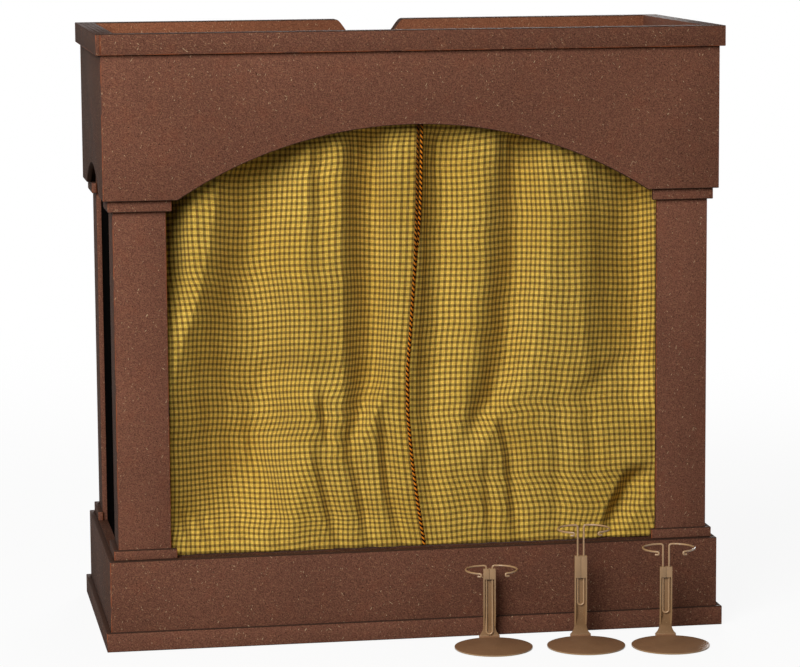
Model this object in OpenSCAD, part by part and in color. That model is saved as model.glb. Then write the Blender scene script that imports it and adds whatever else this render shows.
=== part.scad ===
// Toy theatre of layered fibreboard, with two drawn curtains and three wire doll stands in front.
// The origin is the middle of the underside of the base. X runs to the right, Y to the back, Z up.

/* [Theatre] */
// Width over the cornice
theatre_w = 420; // [380:5:480]
// Depth over the cornice
theatre_d = 190; // [175:5:240]
// Height over the cornice
theatre_h = 408.4; // [400:0.2:440]
// Thickness of every board
board_t = 3.2; // [2.6:0.1:4]

/* [Base] */
// Height of the stage floor above the table
base_h = 60.2; // [45:0.1:80]
// Height of the skirting strip
skirting_h = 12.9; // [8:0.1:20]
// Distance of each floor rib from the middle
rib_x = 70; // [40:5:120]

/* [Posts] */
// Width of a pilaster on the front and the back
pilaster_w = 35; // [28:1:38]
// Width of a pilaster on the sides
side_pilaster_w = 32; // [24:1:36]
// Height of a plinth block
block_h = 6.8; // [4:0.2:12]
// Height of a capital
capital_h = 7.5; // [4:0.5:12]
// How far a block or a capital stands out past the inner edge of its pilaster
trim_lip = 3.6; // [2:0.2:5]
// How far a wing panel reaches above the lower edge of the frieze
wing_rise = 3; // [0:0.5:8]

/* [Frieze] */
// Height of the frieze boards
frieze_h = 109; // [100:1:130]
// Height of the cornice strip
cornice_h = 13.7; // [8:0.1:20]
// Width of the front and back arch where it springs
arch_w = 316; // [290:2:320]
// Rise of the front and back arch
arch_rise = 46.7; // [36:0.1:56]
// Width of a side arch where it springs
side_arch_w = 110; // [90:2:116]
// Rise of a side arch
side_arch_rise = 18; // [12:0.5:26]
// How far the lining stays back from the edge of the arch
arch_reveal = 4; // [2:0.5:6]
// How far the top rail of a portal board stays above the arch
rail_cover = 6; // [5:0.5:10]

/* [Finger notch] */
// Width of the notch at the top edge
notch_w = 49; // [40:1:60]
// Width of the notch at its floor
notch_floor_w = 26; // [16:1:32]
// Depth of the notch
notch_depth = 11; // [6:0.5:13]
// Middle of the notch, to the right of the theatre's middle
notch_x = -2; // [-10:1:10]

/* [Curtains] */
// Diameter of the curtain rod
rod_d = 6; // [4:0.5:8]
// Distance from the front portal board to the middle of the rod
rod_back = 8.2; // [7.4:0.1:12]
// Height of the rod above the top of the arch
rod_rise = 22; // [18:1:28]
// Thickness of the curtain cloth with its lining
cloth_t = 1.2; // [0.8:0.1:1.6]
// Gap between the curtain's hem and the stage floor
hem_gap = 0.4; // [0.3:0.1:2]
// How far below the rod the casing is sewn
casing_drop = 16; // [16:0.5:22]
// How far the cloth swells forward above its hem
hem_swell = 2.4; // [0:0.2:2.6]
// Diameter of the edging cord
cord_d = 2.1; // [1.5:0.1:3]

/* [Doll stands] */
// Diameter of a disc
disc_d = 52; // [44:1:60]
// Thickness of the sheet
sheet_t = 0.9; // [0.6:0.1:1.2]
// Width of an upright
upright_w = 8.2; // [7.6:0.1:10]
// Width of the foot where it is folded up from the disc
foot_w = 14; // [12:0.5:18]
// Height of the flare above the foot
flare_h = 6.5; // [5:0.5:12]
// Inner radius of the fold at the foot
fold_r = 1.2; // [0.8:0.1:1.4]
// Height of the lower edge of the collars
collar_z = 41; // [38:0.5:50]
// Height of the collar on the left and the right stand
collar_short_h = 7.2; // [5:0.2:10]
// Height of the collar on the middle stand
collar_tall_h = 15; // [12:0.5:17]
// Width of the slit where the two flaps of a collar meet
collar_slit = 0.2; // [0.2:0.1:1]

/* [Doll stand wires] */
// Diameter of the wire
wire_d = 1.3; // [1:0.1:1.6]
// Distance between the two legs of a wire
leg_pitch = 4.1; // [3:0.1:4.4]
// Length of a short wire from its lowest bend to its arms
wire_short_l = 47; // [44:0.2:47]
// Length of the tall wire from its lowest bend to its arms
wire_tall_l = 54.6; // [50:0.2:54.6]
// Radius of the bend from a leg to its arm
arm_bend_r = 1.6; // [1.2:0.1:2]
// Width of the waist ring
ring_w = 35.6; // [35.4:0.2:44]
// Depth of the waist ring
ring_d = 28; // [20:0.2:28.2]
// Gap between the two ends of the waist ring
ring_gap = 18; // [14:0.5:24]
// Radius of the curl at each end of the waist ring, turned down and back
curl_r = 0.95; // [0.8:0.05:1.4]
// Length of the straight end behind each curl
curl_tail = 1.6; // [0.5:0.1:3]
// How far the middle wire is pulled up
raise_middle = 19; // [0:0.5:30]
// How far the right wire is pulled up
raise_right = 13.4; // [0:0.2:30]

/* [Doll stand places] */
// Foot of the left stand, to the right of the middle
left_x = 46; // [40:0.1:48]
// Foot of the left stand, in front of the cornice
left_front = 9.8; // [8:0.2:40]
// Turn of the left stand, towards the left
left_turn = 5; // [0:1:15]
// Foot of the middle stand, to the right of the middle
middle_x = 107; // [104:0.5:109]
// Foot of the middle stand, in front of the cornice
middle_front = 17.5; // [8:0.5:40]
// Turn of the middle stand, towards the left
middle_turn = 4.5; // [0:0.5:15]
// Foot of the right stand, to the right of the middle
right_x = 163.5; // [162:0.1:170]
// Foot of the right stand, in front of the cornice
right_front = 27; // [8:0.2:40]
// Turn of the right stand, towards the left
right_turn = 7; // [0:0.5:15]

/* [Hidden] */

// Colours
board_brown = [0.42, 0.27, 0.21];
inside_brown = [0.48, 0.30, 0.21];
wing_black = [0.03, 0.02, 0.02];
rod_wood = [0.72, 0.56, 0.38];
gingham_yellow = [0.80, 0.62, 0.22];
cord_orange = [0.62, 0.36, 0.12];
stand_khaki = [0.55, 0.45, 0.33];

// Fineness of round work
$fn = 64;
eps = 0.01;

// Layers of board, each counted from the outside inwards
cornice_o = 0;
frieze_o = board_t;
trim_o = 2 * board_t;
portal_o = 3 * board_t;
inside_o = 4 * board_t;

// Levels
frieze_z = theatre_h - frieze_h;
cornice_z = theatre_h - cornice_h;
arch_z = frieze_z + arch_rise;
rod_z = arch_z + rod_rise;
wing_z = frieze_z + wing_rise;

// Inner edges of the pilasters and of their blocks and capitals, from the middle
post_x = half_w(portal_o) - pilaster_w;
post_y = half_d(portal_o) - side_pilaster_w;
trim_x = post_x - trim_lip;
trim_y = post_y - trim_lip;

function half_w(o) = theatre_w / 2 - o;
function half_d(o) = theatre_d / 2 - o;

// The front and back boards cover the ends of the side boards at plain butt joints
function span(side, o) =
    is_long(side) ? [-half_w(o), half_w(o)] : [-half_d(o) + board_t, half_d(o) - board_t];

// Each strip of the cornice covers the end of the next one
function lapped_span(side, o) =
    side == "front" ? [-half_w(o) + board_t, half_w(o)] :
    side == "back" ? [-half_w(o), half_w(o) - board_t] :
    side == "left" ? [-half_d(o), half_d(o) - board_t] :
    [-half_d(o) + board_t, half_d(o)];
function is_long(side) = side == "front" || side == "back";

// Stands a flat outline up as a board on one side of the theatre, its outer face o inside the cornice
module board(side, o) {
    if (is_long(side))
        translate([0, side == "front" ? -half_d(o) + board_t : half_d(o), 0])
            rotate([90, 0, 0]) linear_extrude(board_t) children();
    else
        translate([side == "left" ? -half_w(o) : half_w(o) - board_t, 0, 0])
            rotate([90, 0, 90]) linear_extrude(board_t) children();
}

module panel(x, z) {
    translate([x[0], z[0]]) square([x[1] - x[0], z[1] - z[0]]);
}

module strip(side, o, z) {
    color(board_brown) board(side, o) panel(span(side, o), z);
}

// A short strip at one end of a side: -1 is the left or front end, 1 the right or back end
module corner_strip(side, end, z) {
    inner = is_long(side) ? trim_x : trim_y;
    reach = span(side, trim_o);
    color(board_brown) board(side, trim_o)
        panel(end < 0 ? [reach[0], -inner] : [inner, reach[1]], z);
}

function rise_of(side) = is_long(side) ? arch_rise : side_arch_rise;
function chord_of(side) = is_long(side) ? arch_w : side_arch_w;
function radius_of(side) = (pow(chord_of(side) / 2, 2) + pow(rise_of(side), 2)) / (2 * rise_of(side));

module arch_cut(side, reveal) {
    translate([0, frieze_z + rise_of(side) - radius_of(side)]) circle(radius_of(side) + reveal, $fn = 180);
}

function ease(v) = let (c = min(1, max(0, v))) c * c * (3 - 2 * c);
notch_steps = 12;
function notch_point(k, sign) =
    let (s = k / notch_steps)
    [sign * (notch_w + (notch_floor_w - notch_w) * s) / 2, theatre_h - notch_depth * ease(s)];

// The finger notch, only in the back boards
module notch_cut(side) {
    if (side == "back") translate([notch_x, 0]) polygon(concat(
        [[-notch_w / 2, theatre_h + board_t]],
        [for (k = [0:notch_steps]) notch_point(k, -1)],
        [for (k = [notch_steps:-1:0]) notch_point(k, 1)],
        [[notch_w / 2, theatre_h + board_t]]));
}

module arched_board(side, o, reveal) {
    color(board_brown) board(side, o) difference() {
        panel(span(side, o), [frieze_z, theatre_h]);
        arch_cut(side, reveal);
        notch_cut(side);
    }
}

// Base
module bottom_board() {
    color(board_brown) translate([-half_w(trim_o), -half_d(trim_o), 0])
        cube([2 * half_w(trim_o), 2 * half_d(trim_o), board_t]);
}

module base_board(side) {
    strip(side, frieze_o, [0, base_h]);
}

module skirting(side) {
    strip(side, cornice_o, [0, skirting_h]);
}

module stage_floor() {
    color(board_brown) translate([-half_w(trim_o), -half_d(trim_o), base_h - board_t])
        cube([2 * half_w(trim_o), 2 * half_d(trim_o), board_t]);
}

module floor_rib(sign) {
    color(board_brown) translate([sign * rib_x - board_t / 2, -half_d(trim_o), board_t])
        cube([board_t, 2 * half_d(trim_o), base_h - 2 * board_t]);
}

// Posts: each portal board is a pair of pilasters and the rail that joins them above the arch
rod_fit = 0.05;
module portal(side) {
    post = is_long(side) ? post_x : post_y;
    color(board_brown) board(side, portal_o) difference() {
        panel(span(side, portal_o), [base_h, theatre_h]);
        panel([-post, post], [base_h - board_t, frieze_z + rise_of(side) + rail_cover]);
        notch_cut(side);
        if (!is_long(side)) translate([rod_y, rod_z]) circle(d = rod_d + 2 * rod_fit);
    }
}

module wing(sign) {
    left = sign > 0 ? half_w(inside_o) - board_t : -half_w(inside_o);
    color(wing_black) translate([left, -half_d(inside_o), base_h])
        cube([board_t, 2 * half_d(inside_o), wing_z - base_h]);
}

module block(side, end) {
    corner_strip(side, end, [base_h, base_h + block_h]);
}

module capital(side, end) {
    corner_strip(side, end, [frieze_z - capital_h, frieze_z]);
}

// Frieze
module frieze(side) {
    arched_board(side, frieze_o, 0);
}

module lining(side) {
    arched_board(side, trim_o, arch_reveal);
}

module cornice(side) {
    color(board_brown) board(side, cornice_o) difference() {
        panel(lapped_span(side, cornice_o), [cornice_z, theatre_h]);
        notch_cut(side);
    }
}

// Curtain rod, in holes through the side portals and stopped by the linings
rod_y = -half_d(inside_o) + rod_back;
rod_end_gap = 0.3;
module curtain_rod() {
    length = 2 * (half_w(portal_o) - rod_end_gap);
    color(rod_wood) translate([-length / 2, rod_y, rod_z]) rotate([0, 90, 0]) cylinder(d = rod_d, h = length);
}

// Curtains: a sheet that hangs from a casing round the rod, with its main folds
casing_gap = 0.4;
casing_r = rod_d / 2 + casing_gap + cloth_t / 2;
sheet_y = rod_y - casing_r;
hem_z = base_h + hem_gap;
wing_gap = 0.6;
cloth_end = half_w(inside_o) - board_t - wing_gap;
flap_gap = 0.5;

// Where the two curtains meet: height above the stage floor, and place to the right of the middle
SEAM = [[0, 6], [30, 1.5], [60, -2], [90, -4.5], [120, -4.5], [150, -2], [190, 1], [240, 3], [340, 5]];
function seam_x(z) = lookup(z - base_h, SEAM);

// Main folds: upper end x and z, lower end x and z, half width, depth. Heights are above the stage floor
LEFT_FOLDS = [[-131, 240, -163, 60, 9, 6], [-42, 290, -42, 85, 9, 7], [-64, 180, -54, 0, 5, 3]];
RIGHT_FOLDS = [[58, 290, 46, 100, 10, 8], [132, 270, 133, 90, 10, 6], [148, 55, 129, 20, 8, 6]];
fold_fade = 30;
swell_h = 90;
gather_h = 24;

function fold_depth(f, x, h) =
    let (s = min(1, max(0, (f[1] - h) / (f[1] - f[3]))))
    let (off = (x - f[0] - s * (f[2] - f[0])) / f[4])
    let (fade = ease((f[1] + fold_fade - h) / fold_fade) * ease((h - f[3] + fold_fade) / fold_fade))
    f[5] * fade * exp(-off * off);
function add(v, k = 0) = k >= len(v) ? 0 : v[k] + add(v, k + 1);
function cloth_y(folds, x, z) =
    let (free = ease((rod_z - casing_drop - z) / gather_h))
    let (swell = hem_swell * (1 - ease((z - base_h) / swell_h)))
    sheet_y + free * (add([for (f = folds) fold_depth(f, x, z - base_h)]) - swell);

cloth_cols = 30;
drop_rows = 10;
arc_rows = 5;
flap_rows = 2;

// The path of the cloth up, over the rod and down again, as rows of [kind, y, z, normal y, normal z]
flap_run = [-2 * casing_r + cloth_t + flap_gap, -casing_drop];
flap_dir = flap_run / norm(flap_run);
PATH = concat(
    [for (j = [0:drop_rows]) [0, sheet_y, hem_z + (rod_z - hem_z) * j / drop_rows, -1, 0]],
    [for (j = [1:arc_rows]) let (a = 180 * (1 - j / arc_rows))
        [1, rod_y + casing_r * cos(a), rod_z + casing_r * sin(a), cos(a), sin(a)]],
    [for (j = [1:flap_rows]) let (s = j / flap_rows)
        [1, rod_y + casing_r + flap_run[0] * s, rod_z + flap_run[1] * s, -flap_dir[1], flap_dir[0]]]);

// lo and hi give the sheet's left and right edge at a height
function cloth_point(row, s, lo, hi, folds, face) =
    let (x = lo(row[2]) + s * (hi(row[2]) - lo(row[2])))
    let (y = row[0] == 0 ? cloth_y(folds, x, row[2]) : row[1])
    [x, y + face * row[3] * cloth_t / 2, row[2] + face * row[4] * cloth_t / 2];

module cloth(lo, hi, folds) {
    m = cloth_cols;
    n = len(PATH) - 1;
    count = (m + 1) * (n + 1);
    points = [for (face = [1, -1]) for (row = PATH) for (i = [0:m])
        cloth_point(row, i / m, lo, hi, folds, face)];
    a = function(i, j) j * (m + 1) + i;
    b = function(i, j) count + j * (m + 1) + i;
    quad = function(p, q, r, s) [[p, q, r], [p, r, s]];
    quads = concat(
        [for (i = [0:m - 1]) for (j = [0:n - 1]) quad(a(i, j), a(i, j + 1), a(i + 1, j + 1), a(i + 1, j))],
        [for (i = [0:m - 1]) for (j = [0:n - 1]) quad(b(i, j), b(i + 1, j), b(i + 1, j + 1), b(i, j + 1))],
        [for (i = [0:m - 1]) quad(a(i, 0), a(i + 1, 0), b(i + 1, 0), b(i, 0))],
        [for (i = [0:m - 1]) quad(a(i + 1, n), a(i, n), b(i, n), b(i + 1, n))],
        [for (j = [0:n - 1]) quad(a(0, j + 1), a(0, j), b(0, j), b(0, j + 1))],
        [for (j = [0:n - 1]) quad(a(m, j), a(m, j + 1), b(m, j + 1), b(m, j))]);
    polyhedron(points, [for (q = quads) for (t = q) t]);
}

// The left cord lies in front of its curtain's edge, and the right cord goes behind it lower down
cord_gap = 0.3;
cord_step = cord_d + cord_gap;
left_edge = -0.6;
behind_angle = 70;
full_turn = 360;
cord_foot = 1.5;
part_from = 180;
part_to = 250;

function cord_y(z) =
    sheet_y - cloth_t / 2 - cord_gap - cord_d / 2 - hem_swell * (1 - ease((z - base_h) / swell_h));
function left_cord(z) = [seam_x(z), cord_y(z)];
function right_cord(z) =
    let (a = behind_angle * (1 - ease((z - base_h - part_from) / (part_to - part_from))))
    [seam_x(z) + cord_step * cos(a), cord_y(z) + cord_step * sin(a)];

module curtain_left() {
    color(gingham_yellow) cloth(function(z) -cloth_end, function(z) seam_x(z) + left_edge, LEFT_FOLDS);
}

module curtain_right() {
    edge = function(z) right_cord(z)[0] + cord_d / 2 + cord_gap;
    color(gingham_yellow) cloth(edge, function(z) cloth_end, RIGHT_FOLDS);
}

cord_sides = 8;
cord_rings = 20;
cord_low = base_h + cord_foot;
cord_top = rod_z - casing_drop;

module edging_cord(route) {
    levels = [for (k = [0:cord_rings]) cord_low + (cord_top - cord_low) * k / cord_rings];
    points = [for (z = levels) for (i = [0:cord_sides - 1]) let (c = route(z), w = full_turn * i / cord_sides)
        [c[0] + cord_d / 2 * cos(w), c[1] + cord_d / 2 * sin(w), z]];
    at = function(k, i) k * cord_sides + i % cord_sides;
    walls = [for (k = [0:cord_rings - 1]) for (i = [0:cord_sides - 1])
        for (t = [[at(k, i), at(k + 1, i), at(k + 1, i + 1)], [at(k, i), at(k + 1, i + 1), at(k, i + 1)]]) t];
    foot = [for (i = [1:cord_sides - 2]) [at(0, 0), at(0, i), at(0, i + 1)]];
    tip = [for (i = [1:cord_sides - 2]) [at(cord_rings, 0), at(cord_rings, i + 1), at(cord_rings, i)]];
    color(cord_orange) polyhedron(points, concat(walls, foot, tip));
}

// Doll stands: disc and upright are one sheet, folded up at the back of the disc
wire_fit = 0.05;
channel = wire_d + 2 * wire_fit;
wall_d = channel + sheet_t;
wall_fade = 3 * wall_d;
fold_z = sheet_t + fold_r;
flare_z = fold_z + flare_h;
flare_dx = (foot_w - upright_w) / 2;
flare_r = (flare_dx * flare_dx + flare_h * flare_h) / (2 * flare_dx);
flare_bite = 0.05;
fold_shoulder = 0.6;
disc_y = -fold_r - sqrt(pow(disc_d, 2) - pow(foot_w + 2 * fold_shoulder, 2)) / 2;

module stand_disc() {
    intersection() {
        translate([0, disc_y, 0]) cylinder(d = disc_d, h = sheet_t, $fn = 128);
        translate([-disc_d / 2, disc_y - disc_d, 0]) cube([disc_d, disc_d - disc_y - fold_r, sheet_t]);
    }
}

module stand_fold() {
    outer = fold_r + sheet_t;
    translate([-foot_w / 2, -fold_r, outer]) rotate([90, 0, 90]) linear_extrude(foot_w) intersection() {
        difference() {
            circle(outer);
            circle(fold_r);
        }
        translate([0, -outer]) square(outer);
    }
}

module stand_web(top) {
    translate([0, sheet_t, 0]) rotate([90, 0, 0]) linear_extrude(sheet_t) {
        panel([-upright_w / 2, upright_w / 2], [fold_z, top]);
        difference() {
            panel([-foot_w / 2, foot_w / 2], [fold_z, flare_z]);
            for (sign = [-1, 1]) translate([sign * (upright_w / 2 + flare_r - flare_bite), flare_z])
                circle(flare_r, $fn = 128);
        }
    }
}

module stand_walls(top) {
    for (sign = [-1, 1]) translate([sign > 0 ? upright_w / 2 - sheet_t : -upright_w / 2, 0, 0])
        rotate([90, 0, 90]) linear_extrude(sheet_t)
            polygon([[0, flare_z], [0, top], [-wall_d, top], [-wall_d, flare_z + wall_fade]]);
}

module stand_collar(top) {
    for (sign = [-1, 1]) translate([sign > 0 ? collar_slit / 2 : -upright_w / 2, -wall_d, collar_z])
        cube([(upright_w - collar_slit) / 2, sheet_t, top - collar_z]);
}

module stand(collar_h) {
    top = collar_z + collar_h;
    color(stand_khaki) {
        stand_disc();
        stand_fold();
        stand_web(top);
        stand_walls(top);
        stand_collar(top);
    }
}

// Doll stand wires
arm_gap = 0.4;
ring_r = (ring_d - wire_d) / 2;
ring_x = (ring_w - wire_d) / 2 - ring_r;
ring_end = acos((ring_gap / 2 - ring_x) / ring_r);
bend_turn = 90;
wire_y = -channel / 2;

module wire_arc(radius, from, turn) {
    rotate([0, 0, from]) rotate_extrude(angle = turn) translate([radius, 0]) circle(d = wire_d, $fn = 24);
}

module wire_run(length) {
    cylinder(d = wire_d, h = length, $fn = 24);
}

// One leg and its arm, on the right side, with the arm at height arm_z
module wire_half(arm_z, low_z) {
    leg_x = leg_pitch / 2;
    bend_x = leg_x + arm_bend_r;
    translate([leg_x, 0, low_z + leg_x]) wire_run(arm_z - arm_bend_r - low_z - leg_x);
    translate([bend_x, 0, arm_z - arm_bend_r]) rotate([90, 0, 0]) wire_arc(arm_bend_r, bend_turn, bend_turn);
    translate([bend_x, 0, arm_z]) rotate([0, 90, 0]) wire_run(ring_x - bend_x);
    translate([ring_x, -ring_r, arm_z]) {
        wire_arc(ring_r, -ring_end, bend_turn + ring_end);
        rotate([0, 0, -ring_end]) translate([ring_r, 0, -curl_r]) {
            rotate([bend_turn, 0, -bend_turn]) wire_arc(curl_r, -bend_turn, 2 * bend_turn);
            translate([0, 0, -curl_r]) rotate([-bend_turn, 0, 0]) wire_run(curl_tail);
        }
    }
}

module wire(collar_h, length, raise) {
    arm_z = collar_z + collar_h + arm_bend_r + arm_gap + raise;
    low_z = arm_z - length;
    color(stand_khaki) translate([0, wire_y, 0]) {
        wire_half(arm_z, low_z);
        mirror([1, 0, 0]) wire_half(arm_z, low_z);
        translate([0, 0, low_z + leg_pitch / 2]) rotate([-90, 0, 0]) wire_arc(leg_pitch / 2, 0, 180);
    }
}

module at_left() {
    translate([left_x, -theatre_d / 2 - left_front, 0]) rotate([0, 0, -left_turn]) children();
}

module at_middle() {
    translate([middle_x, -theatre_d / 2 - middle_front, 0]) rotate([0, 0, -middle_turn]) children();
}

module at_right() {
    translate([right_x, -theatre_d / 2 - right_front, 0]) rotate([0, 0, -right_turn]) children();
}

bottom_board();
base_board("front");  // base_front
base_board("back");  // base_back
base_board("left");  // base_left
base_board("right");  // base_right
skirting("front");  // skirting_front
skirting("back");  // skirting_back
skirting("left");  // skirting_left
skirting("right");  // skirting_right
stage_floor();
floor_rib(-1);  // floor_rib_left
floor_rib(1);  // floor_rib_right
portal("front");  // portal_front
portal("back");  // portal_back
portal("left");  // portal_left
portal("right");  // portal_right
wing(-1);  // wing_left
wing(1);  // wing_right
block("front", -1);  // block_front_left
block("front", 1);  // block_front_right
block("back", -1);  // block_back_left
block("back", 1);  // block_back_right
block("left", -1);  // block_left_front
block("left", 1);  // block_left_back
block("right", -1);  // block_right_front
block("right", 1);  // block_right_back
capital("front", -1);  // capital_front_left
capital("front", 1);  // capital_front_right
capital("back", -1);  // capital_back_left
capital("back", 1);  // capital_back_right
capital("left", -1);  // capital_left_front
capital("left", 1);  // capital_left_back
capital("right", -1);  // capital_right_front
capital("right", 1);  // capital_right_back
lining("front");  // lining_front
lining("back");  // lining_back
lining("left");  // lining_left
lining("right");  // lining_right
frieze("front");  // frieze_front
frieze("back");  // frieze_back
frieze("left");  // frieze_left
frieze("right");  // frieze_right
cornice("front");  // cornice_front
cornice("back");  // cornice_back
cornice("left");  // cornice_left
cornice("right");  // cornice_right
curtain_rod();
curtain_left();
curtain_right();
edging_cord(function(z) left_cord(z));  // edging_cord_left
edging_cord(function(z) right_cord(z));  // edging_cord_right
at_left() stand(collar_short_h);  // stand_left
at_middle() stand(collar_tall_h);  // stand_middle
at_right() stand(collar_short_h);  // stand_right
at_left() wire(collar_short_h, wire_short_l, 0);  // wire_left
at_middle() wire(collar_tall_h, wire_tall_l, raise_middle);  // wire_middle
at_right() wire(collar_short_h, wire_short_l, raise_right);  // wire_right
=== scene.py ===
"""Looks of the toy theatre: layered fibreboard, gingham curtains with twisted cords, and doll stands."""

import math

import bpy
import numpy as np
from mathutils import Matrix, Vector


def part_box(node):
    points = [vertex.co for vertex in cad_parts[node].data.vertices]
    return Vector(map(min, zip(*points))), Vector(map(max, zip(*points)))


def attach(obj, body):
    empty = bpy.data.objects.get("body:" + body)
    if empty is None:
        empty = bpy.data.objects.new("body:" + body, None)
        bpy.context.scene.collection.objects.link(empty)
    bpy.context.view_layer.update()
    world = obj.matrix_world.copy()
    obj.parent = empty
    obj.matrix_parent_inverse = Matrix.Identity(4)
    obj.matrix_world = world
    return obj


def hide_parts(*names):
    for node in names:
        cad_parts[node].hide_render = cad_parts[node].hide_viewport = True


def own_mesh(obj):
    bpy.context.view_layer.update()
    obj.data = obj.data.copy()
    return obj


bl_info = {
    "name": "Toy Theatre",
    "version": (1, 0, 0),
    "blender": (4, 5, 0),
    "location": "View3D > Sidebar > Theatre",
    "description": "Dresses the toy theatre's boards, curtains, cords and doll stands",
    "category": "Object",
}

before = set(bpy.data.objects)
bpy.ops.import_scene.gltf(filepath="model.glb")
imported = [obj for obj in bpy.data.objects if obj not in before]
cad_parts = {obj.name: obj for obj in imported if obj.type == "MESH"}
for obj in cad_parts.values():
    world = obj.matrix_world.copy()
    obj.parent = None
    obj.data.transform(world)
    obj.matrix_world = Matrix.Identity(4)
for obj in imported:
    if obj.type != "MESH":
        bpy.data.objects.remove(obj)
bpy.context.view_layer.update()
MM = 0.001

# Camera that the photo's corners give: its place in metres, its axes in the frame, its sensor and its lens
CAMERA_PLACE = (-0.36393, -2.17957, 0.50417)
CAMERA_RIGHT = (0.9858, -0.1675, -0.0070)
CAMERA_DOWN = (-0.0301, -0.1358, -0.9903)
CAMERA_AHEAD = (0.1649, 0.9765, -0.1389)
SENSOR_MM = 36.0
LENS_MM = 144.71

# Lamps: name, place and size in metres, power in watts. All of them aim at one point
LAMPS = (
    ("key_light", (-0.92, -1.5, 1.15), 1.05, 40.0),
    ("back_light", (0.7, 2.2, 0.6), 1.0, 42.0),
)
LAMP_AIM = (0.0, 0.0, 0.2)
# Soft light from all round
WORLD_TINT = (1.0, 0.99, 0.97, 1.0)
WORLD_LIGHT = 0.09
# Floor, in metres: its size, its gap under the object, and where its white begins to grow and is full
FLOOR_SIZE = 60.0
FLOOR_DROP = 0.0003
FLOOR_FADE = (0.35, 1.5)

# Places and sizes that the curtains and cords share with the part, in millimetres
FLOOR_Z = 60.2
PORTAL_BACK_Y = -82.2
ROD_Y = -74.0
ROD_Z = 368.1
CLOTH_END_X = 193.4
SHEET_Y = -78.0
CLOTH_HALF = 0.6
CASING_R = 4.0
CASING_DROP = 16.0
CORD_R = 1.05
CORD_GAP = 0.3
HEM_SWELL = 2.4
SWELL_H = 90.0
# Where the two curtains meet: height above the stage floor, and place to the right of the middle
SEAM_PLACES = ((0, 6), (30, 1.5), (60, -2), (90, -4.5), (120, -4.5), (150, -2), (190, 1), (240, 3), (340, 5))

# Distance from the sheet to the casing's flap at their seam, in millimetres
FLAP_GAP = 1.3
# Flat width as a multiple of the length over the folds
FULLNESS = 1.08

SIDES = ("front", "back", "left", "right")
CORNERS = (
    "front_left", "front_right", "back_left", "back_right",
    "left_front", "left_back", "right_front", "right_back",
)
FOUR_SIDED = ("base", "skirting", "portal", "lining", "frieze", "cornice")
BROWN_BOARDS = (
    ["bottom_board", "stage_floor", "floor_rib_left", "floor_rib_right"]
    + [f"{part}_{side}" for part in FOUR_SIDED for side in SIDES]
    + [f"{part}_{corner}" for part in ("block", "capital") for corner in CORNERS]
)
STANDS = ("left", "middle", "right")

# Brightness of the boards that differ from the main brown: a darker copy on the base that is painted shade,
# a much darker one on the stage floor that is painted shadow, and a darker cornice and a lighter portal
SHADES = {"cornice": 0.86, "portal": 1.16, "base": 0.9, "stage": 0.26}
# Material slots of a board and of a stand
FACE, CUT, WORN, INNER, OUTER = range(5)
KHAKI, RUBBED, DISC, CHANNEL = range(4)
# A face whose normal has more than this along an axis looks that way
FACING = 0.9

# Edges with more than this angle, in degrees, are rounded, and those with more than these are shaded sharp
ROUND_ANGLE = 32
SHARP_ANGLE = 40
WIRE_SHARP_ANGLE = 50
# Steps across a rounded edge, and the width of the rod's rounding in millimetres
ROUND_STEPS = 2
ROD_ROUND = 0.5
# Points closer than this, in metres, become one, and so do faces that meet at less than this, in degrees
MERGE_GAP = 2e-6
MERGE_ANGLE = 0.6

# On a stand, in millimetres: the disc and its fold lie below one height, and the upright over the other
DISC_TOP = 3.0
UPRIGHT_FOOT = 6.0
# Front faces of the upright this near to the deepest one, in millimetres, are the channel's floor
CHANNEL_SLACK = 0.2

# Lesser colours, as a screen shows them
RED_TINT = (138, 72, 48)
DARK_SPECK = (44, 26, 20)
FADED_YELLOW = (204, 158, 44)
WARM_YARN = (154, 88, 36)
GREEN_YARN = (126, 120, 42)
DARK_YARN = (84, 62, 24)
PALE_SLUB = (246, 214, 120)
PALE_WOOD = (196, 158, 110)
DARK_WOOD = (158, 116, 72)
FLOOR_GREY = (128, 127, 126)
FLOOR_WHITE = (246, 246, 245)
# Widths of one thread of the cloth and of one ply of a cord's strand, in metres
THREAD = 0.00042
PLY = 0.0011
NO_TURN = (0.0, 0.0, 0.0)


def linear(rgb):
    """Turns a colour as a screen shows it, from 0 to 255, into the shader's own scale."""
    out = []
    for c in rgb:
        c = c / 255
        out.append(c / 12.92 if c <= 0.04045 else ((c + 0.055) / 1.055) ** 2.4)
    return tuple(out)


def colour_prop(name, description, rgb):
    return bpy.props.FloatVectorProperty(
        name=name, description=description, subtype="COLOR", size=3, min=0, max=1, default=linear(rgb)
    )


def length_prop(name, description, mm):
    return bpy.props.FloatProperty(
        name=name, description=description, subtype="DISTANCE", unit="LENGTH", min=0, default=mm * MM
    )


class TheatreBoardLooks(bpy.types.PropertyGroup):
    """Finish of the boards."""

    edge_round: length_prop("Edge rounding", "Width of the worn strip along each board's edges", 0.45)
    brown: colour_prop("Brown", "Main colour of the board's face", (110, 71, 56))
    # Painted shade with a painted grey sheen: the outer side faces are darker and greyer than the front for
    # how the light falls on them
    side_shade_brown: colour_prop("Side brown", "Outer faces of the boards at the sides", (76, 61, 55))
    # Partly a warmer colour of the back board's inner face and partly painted light: it is lighter than the
    # main brown for light the lamps don't give
    inner_lit_brown: colour_prop("Inner brown", "Back board's face, as seen from the front", (127, 79, 56))
    deep_brown: colour_prop("Deep brown", "Darker patches in the board's face", (84, 54, 43))
    fibre: colour_prop("Fibre", "Short faint fibres in the board's face", (182, 134, 98))
    pale_fibre: colour_prop("Pale fibre", "Long pale fibres in the board's face", (214, 184, 146))
    cut_edge: colour_prop("Cut edge", "Colour of the sawn edges", (58, 40, 31))
    worn_edge: colour_prop("Worn edge", "Colour of the rubbed corners", (148, 78, 44))
    black: colour_prop("Black", "Colour of the wing panels", (13, 12, 11))


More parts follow.
